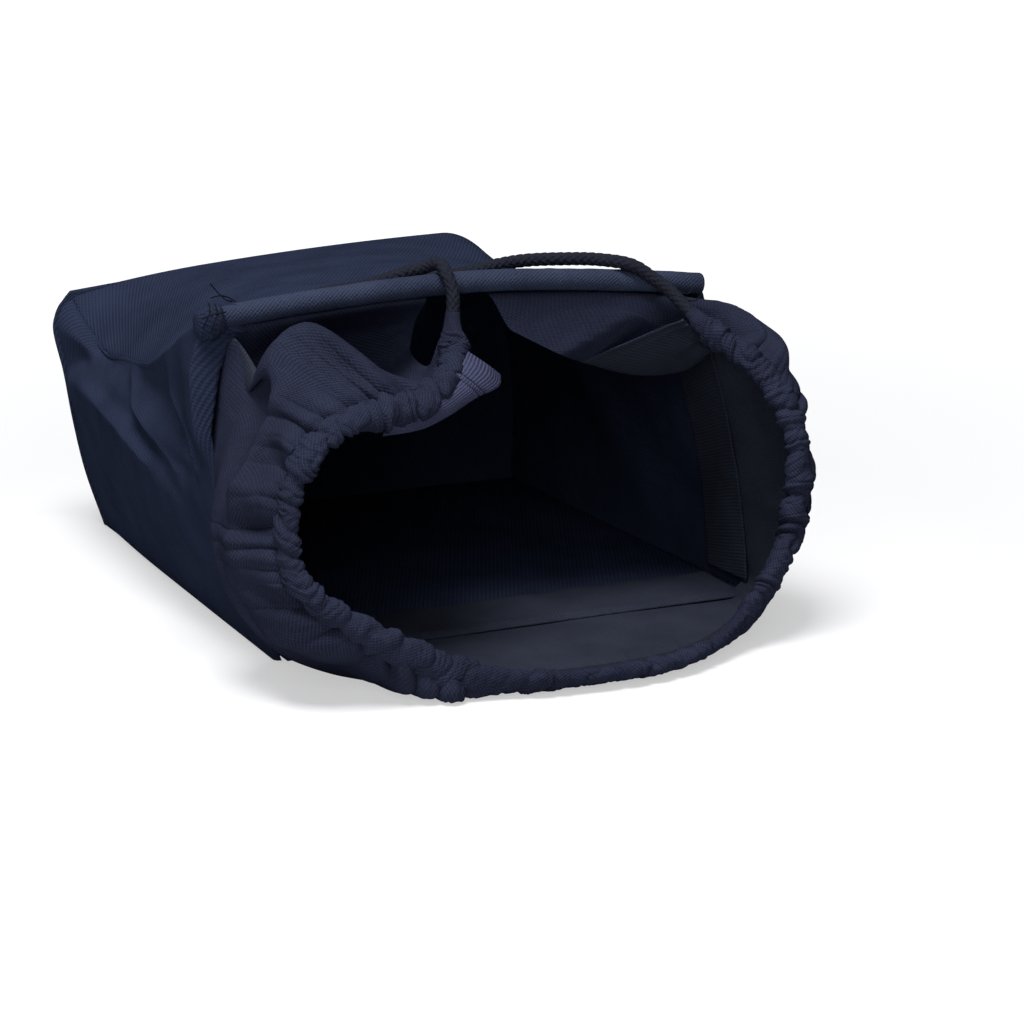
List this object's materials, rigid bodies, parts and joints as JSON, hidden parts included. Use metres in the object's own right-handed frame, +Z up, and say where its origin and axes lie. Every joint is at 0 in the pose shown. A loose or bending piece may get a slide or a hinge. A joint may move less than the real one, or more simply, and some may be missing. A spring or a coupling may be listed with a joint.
{
  "type": "peg bag",
  "caption": "Soft twill peg bag lying on its back, with a gathered nylon collar round the open mouth, a rod-stiffened front hem and a drawcord that draws the mouth shut.",
  "frame": {"origin": "centre of the back panel's flat underside, on the surface that the bag lies on", "axes": "+X across the bag to the right as seen from the mouth, +Y from the mouth to the base, +Z up from the back panel to the front panel"},
  "size_m": [0.2775, 0.3626, 0.169],
  "materials": {
    "twill": "matt navy-black twill weave",
    "nylon": "thin ribbed nylon with a satin sheen",
    "drawcord": "braided black cord",
    "rod": "smooth pale plastic"
  },
  "bodies": {
    "bag_body": {"back_panel": "twill", "left_gusset": "twill", "right_gusset": "twill", "base_gusset": "twill", "left_hem_facing": "twill", "right_hem_facing": "twill", "lower_hem_facing": "twill", "collar": "nylon", "collar_tab": "nylon", "cord_channel": "nylon", "drawcord_channel_run": "drawcord"},
    "front": {"front_panel": "twill", "rod_sleeve": "twill", "sleeve_end_patch": "twill", "rod": "rod", "drawcord_right_run": "drawcord", "drawcord_left_run": "drawcord"},
    "cord_pull": {"drawcord_bight": "drawcord"}
  },
  "joints": [
    {"name": "mouth_close", "type": "hinge", "parent": "bag_body", "child": "front", "pos_m": [0, 0.1277, 0.1335], "axis": [0.9974, 0, 0.0715], "range_deg": [0, 13], "deforming": ["left_gusset", "right_gusset", "base_gusset", "left_hem_facing", "right_hem_facing", "collar", "collar_tab", "cord_channel", "drawcord_channel_run"]},
    {"name": "drawcord_pull", "type": "slide", "parent": "front", "child": "cord_pull", "axis": [0, 0.9975, -0.07], "range_m": [0, 0.06], "deforming": ["drawcord_right_run", "drawcord_left_run"]}
  ],
  "couplings": [
    {"joint": "drawcord_pull", "follows": "mouth_close", "m_per_rad": 0.26}
  ]
}
